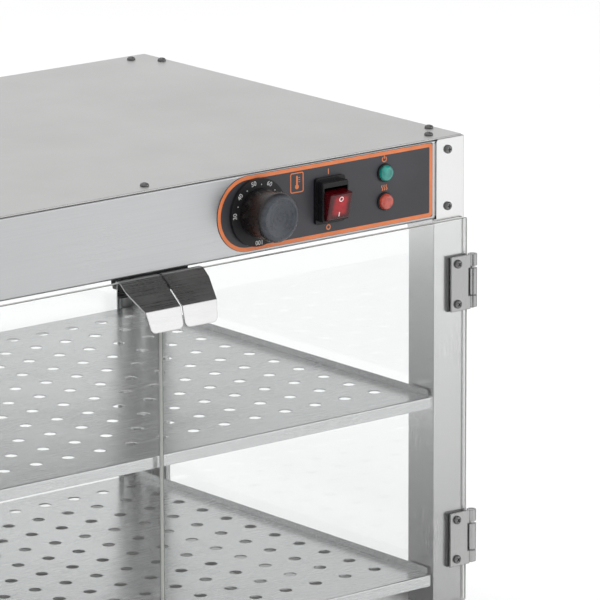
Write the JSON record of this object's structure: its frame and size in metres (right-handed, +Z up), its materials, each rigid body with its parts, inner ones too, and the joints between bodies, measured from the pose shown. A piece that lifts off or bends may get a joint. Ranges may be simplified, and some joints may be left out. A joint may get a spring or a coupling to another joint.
{
  "type": "food holding cabinet",
  "caption": "Countertop food holding cabinet: glazed steel frame, hinged glass doors with folded handles, perforated shelves, thermostat knob, rocker switch and pilot lamps.",
  "frame": {"origin": "on the table surface, under the middle of the bounding box", "axes": "+X to the right seen from the front, +Y from the doors to the back, +Z up"},
  "size_m": [0.705, 0.5234, 0.5238],
  "materials": {
    "cabinet_steel": "satin brushed stainless sheet",
    "inner_steel": "semi-bright brushed stainless sheet",
    "channel_steel": "satin folded channel",
    "screw_steel": "pan-head, slightly worn recess",
    "hinge_steel": "brushed, rounded edges",
    "clamp_steel": "dark clamp plate with liner",
    "clear_glass": "clear toughened, ground edges",
    "rubber": "matt",
    "element_sheath": "heat-toned sheath",
    "ceramic": "matt ceramic",
    "overlay_film": "printed film, fine texture",
    "black_plastic": "fine moulded grain",
    "knob_plastic": "semi-gloss dish, matt side",
    "switch_lens": "translucent red",
    "brass": "turned",
    "green_lens": "translucent dome",
    "red_lens": "translucent dome",
    "magnet_steel": "pole plates"
  },
  "bodies": {
    "cabinet": {"bottom_plate": "cabinet_steel", "cable_gland": "black_plastic", "catch_body": "black_plastic", "catch_magnets": "magnet_steel", "ceiling_panel": "inner_steel", "control_overlay": "overlay_film", "corner_gussets": "cabinet_steel", "dial_plate": "black_plastic", "element_bushes": "ceramic", "element_rails": "inner_steel", "floor_panel": "inner_steel", "foot_screws": "screw_steel", "frame_screws": "screw_steel", "front_base_band": "cabinet_steel", "front_top_band": "cabinet_steel", "gland_nut": "black_plastic", "glazing_channels": "channel_steel", "glazing_seals": "rubber", "heat_lamp_lens": "red_lens", "heating_element": "element_sheath", "hinge_pins": "hinge_steel", "lamp_bodies": "black_plastic", "left_base_band": "cabinet_steel", "left_top_band": "cabinet_steel", "post_front_left": "cabinet_steel", "post_front_right": "cabinet_steel", "post_hinge_leaves": "hinge_steel", "post_hinge_screws": "screw_steel", "post_rear_left": "cabinet_steel", "post_rear_right": "cabinet_steel", "power_lamp_lens": "green_lens", "rear_base_band": "cabinet_steel", "rear_glass": "clear_glass", "rear_top_band": "cabinet_steel", "right_base_band": "cabinet_steel", "right_top_band": "cabinet_steel", "roof_panel": "cabinet_steel", "roof_screws": "screw_steel", "rubber_feet": "rubber", "shelf_supports": "inner_steel", "side_glass_left": "clear_glass", "side_glass_right": "clear_glass", "switch_frame": "black_plastic", "terminal_block": "ceramic", "thermostat_body": "black_plastic"},
    "door_left": {"door_glass_left": "clear_glass", "handle_left": "hinge_steel", "door_hinge_leaves_left": "hinge_steel", "hinge_clamp_plates_left": "clamp_steel", "door_hinge_screws_left": "screw_steel"},
    "door_right": {"door_glass_right": "clear_glass", "handle_right": "hinge_steel", "door_hinge_leaves_right": "hinge_steel", "hinge_clamp_plates_right": "clamp_steel", "door_hinge_screws_right": "screw_steel"},
    "thermostat_knob": {"knob_grip": "knob_plastic", "thermostat_spindle": "brass"},
    "switch_key": {"switch_key": "switch_lens"},
    "upper_shelf": {"upper_shelf": "inner_steel"},
    "lower_shelf": {"lower_shelf": "inner_steel"}
  },
  "joints": [
    {"name": "door_left_hinge", "type": "hinge", "parent": "cabinet", "child": "door_left", "pos_m": [-0.3483, -0.2283, 0.271], "axis": [0, 0, -1], "range_deg": [0, 180]},
    {"name": "door_right_hinge", "type": "hinge", "parent": "cabinet", "child": "door_right", "pos_m": [0.3483, -0.2283, 0.271], "axis": [0, 0, 1], "range_deg": [0, 180]},
    {"name": "thermostat_turn", "type": "hinge", "parent": "cabinet", "child": "thermostat_knob", "pos_m": [0.108, -0.2401, 0.4856], "axis": [0, 1, 0], "range_deg": [0, 270]},
    {"name": "switch_rock", "type": "hinge", "parent": "cabinet", "child": "switch_key", "pos_m": [0.1875, -0.2298, 0.4835], "axis": [-1, 0, 0], "range_deg": [0, 26]},
    {"name": "upper_shelf_lift", "type": "slide", "parent": "cabinet", "child": "upper_shelf", "axis": [0, 0, 1], "range_m": [0, 0.025]},
    {"name": "lower_shelf_lift", "type": "slide", "parent": "cabinet", "child": "lower_shelf", "axis": [0, 0, 1], "range_m": [0, 0.025]}
  ]
}
